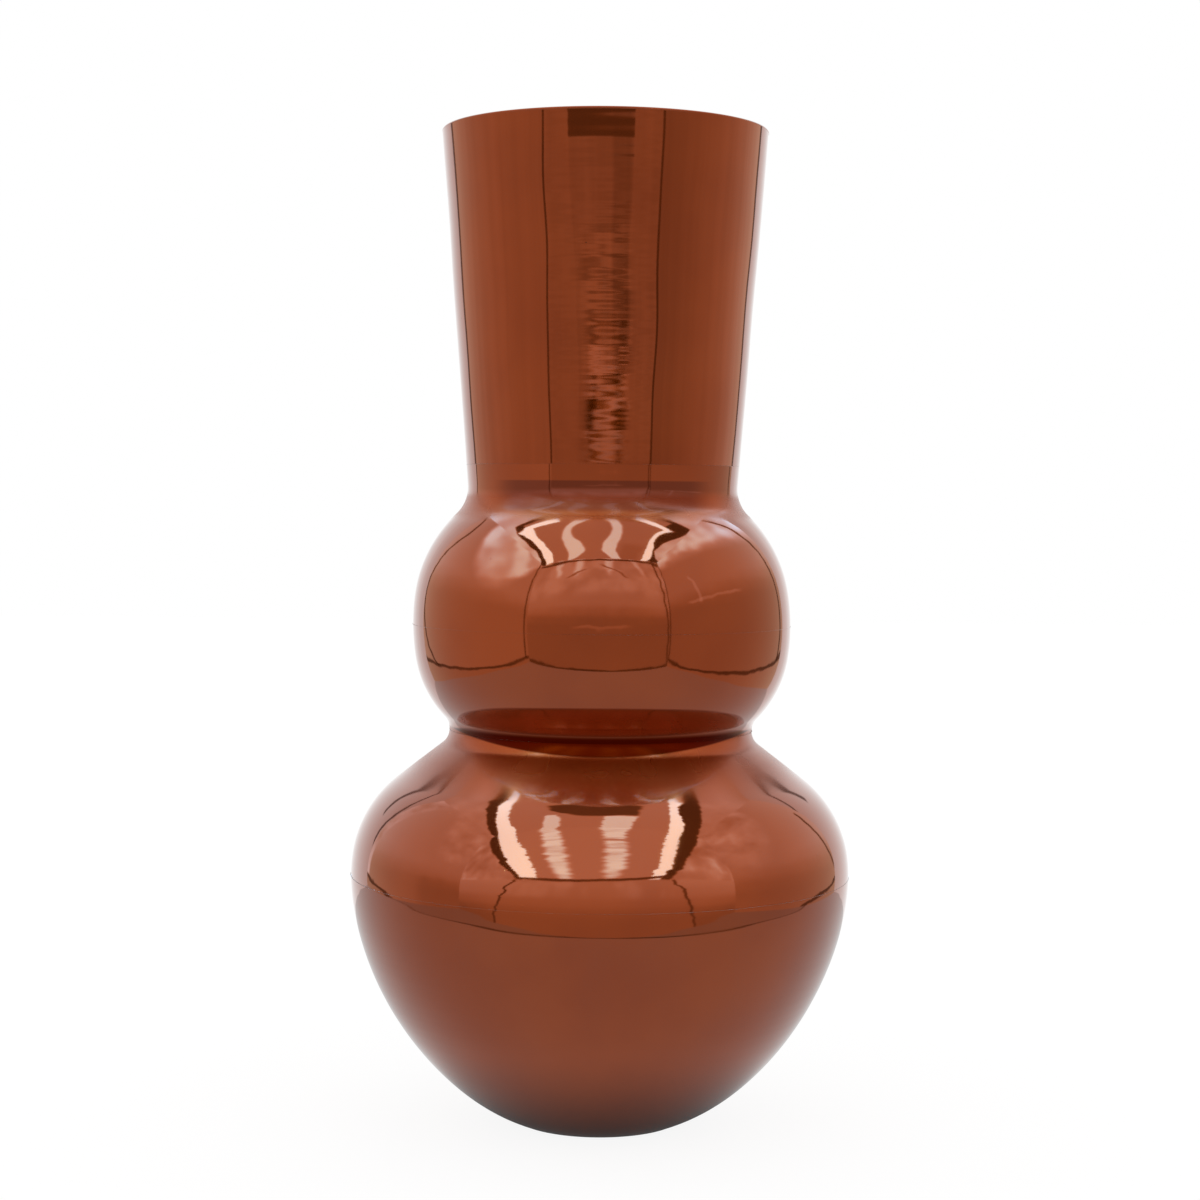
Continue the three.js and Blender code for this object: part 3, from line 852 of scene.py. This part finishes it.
def bulb_right(x, y, z, spot):
    """Right cloth: the same, a little dimmer, with the rear fold in it."""
    z = crumple(spot, z, 0.05, 0.02)
    bright = (z - curve(y, (-0.15, -0.05, 0.0, 0.075), (0.20, 0.26, 0.33, 0.49))).rise(-0.08, 0.08)
    level = 0.72 + z.rise(0.06, 0.20) * 0.40
    level = blend(level, bright, GLARE - 0.1 + (spot.noise(9, 3) - 0.5) * 1.6)
    foot_line = curve(y, (0.05, 0.12, 0.20, 0.29), (0.0, 0.014, 0.022, 0.032))
    rear_fold = seam(y, z, 0.012, (0.07, 0.285), (0.2, 0.24), (0.32, 0.255)) * (1 - z.rise(0.31, 0.33))
    return blend(above_floor(level, z, foot_line, 0.009), rear_fold, SEAM)


def bulb_back(x, y, z, spot):
    """Rear cloth with the crumpled folds of the tent's rear corners."""
    shaken = crumple(spot, x, 0.03, 0.012)
    width = 0.017
    left_fold = seam(
        shaken, z, width, (0.15, -0.415), (0.264, -0.398), (0.355, -0.385), (0.413, -0.329), (0.439, -0.300),
    ) * between(z, 0.10, 0.440, 0.004)
    left_edge = seam(shaken, z, width, (0.239, -0.279), (0.349, -0.258), (0.44, -0.300))
    left_edge = left_edge * between(z, 0.20, 0.440, 0.004)
    right_edge = seam(shaken, z, width, (0.254, 0.230), (0.327, 0.242), (0.393, 0.282))
    right_edge = right_edge * between(z, 0.21, 0.393, 0.004)
    right_fold = seam(z, x, width, (0.28, 0.393), (0.32, 0.365), (0.38, 0.320))
    right_fold = right_fold * between(x, 0.281, 0.38, 0.004)
    return blend(CLOTH, (left_fold + left_edge + right_edge + right_fold).math("MINIMUM", 1), SEAM)


def bulb_floor(x, y, z, spot):
    """Floor, shaded round the foot, and the foot of the cloth walls where they turn up: a shallow parabola
    in front, with a steeper one added beyond each corner."""
    left_turn = (-0.18 - x).math("MAXIMUM", 0)
    right_turn = (x - 0.165).math("MAXIMUM", 0)
    foot_line = x * x * 1.25 + LOWER_FRONT + left_turn * left_turn * 1.85 + right_turn * right_turn * 2.5
    wall = (foot_line - y).rise(-0.004, 0.004)
    return blend(shaded_floor(x, y, z, spot), wall, 0.58) * corner_fold(y, foot_line, 0.006)


tent(
    "bulb_tent", ["bulb_shoulder_skin", "bulb_bowl_skin", "solder_waist", "solder_bulb", "base_pad_skin"],
    (LOWER_LEFT, LOWER_RIGHT, LOWER_FRONT), 0, front=bulb_front, roof=bulb_roof, left=bulb_left,
    right=bulb_right, back=bulb_back, floor=bulb_floor,
)


# Floor
# Plain pale floor, a hair under the pad, in even white light. The camera sees the floor white with the
# vase's shadow on it. Mirrors show the tents instead of the floor and the world.
FLOOR_REACH, UNDER_PAD = 3, -0.0001
mesh = bpy.data.meshes.new("floor")
signs = [(-1, -1), (1, -1), (1, 1), (-1, 1)]
mesh.from_pydata([(FLOOR_REACH * i, FLOOR_REACH * j, UNDER_PAD) for i, j in signs], [], [(0, 1, 2, 3)])
material = bpy.data.materials.new("pale_floor")
start = bare_tree(material)
seen = start.shade("LightPath", {}, "Is Camera Ray")
white = start.shade("AddShader", {
    0: start.shade("Emission", {"Color": (0.90, 0.90, 0.90, 1)}),
    1: start.shade("BsdfDiffuse", {"Color": (0.14, 0.14, 0.14, 1)}),
})
matt = start.shade("BsdfDiffuse", {"Color": (0.8, 0.8, 0.8, 1)})
start.shade("OutputMaterial", {"Surface": start.shade("MixShader", {0: seen, 1: matt, 2: white})})
mesh.materials.append(material)
floor = bpy.data.objects.new("floor", mesh)
bpy.context.scene.collection.objects.link(floor)
floor.visible_glossy = False

world = bpy.data.worlds.new("even_white")
bpy.context.scene.world = world
start = bare_tree(world)
seen = start.shade("LightPath", {}, "Is Camera Ray") + start.shade("LightPath", {}, "Is Transmission Ray")
mirrored = start.shade("LightPath", {}, "Is Glossy Ray")
level = seen.math("MINIMUM", 1) * 0.2 + 0.8 - mirrored * 0.8
start.shade("OutputWorld", {"Surface": start.shade("Background", {"Color": NEUTRAL, "Strength": level})})


# Camera
# A 72 mm lens at 0.73 m, a little above the ball, looking 2.4 degrees down and turned 0.47 degrees in its
# frame.
from mathutils import Matrix

LOOK_DOWN, FRAME_TURN = np.radians(2.405), np.radians(0.470)
lens = bpy.data.cameras.new("camera")
lens.lens, lens.sensor_width, lens.shift_x = 72, 36, -0.00153
camera = bpy.data.objects.new("camera", lens)
bpy.context.scene.collection.objects.link(camera)
camera.location = (0, -0.7291, 0.1894)
tilt = Matrix.Rotation(np.pi / 2 - LOOK_DOWN, 3, "X") @ Matrix.Rotation(FRAME_TURN, 3, "Z")
camera.rotation_euler = tilt.to_euler()
bpy.context.scene.camera = camera
bpy.context.scene.view_settings.view_transform = "Standard"
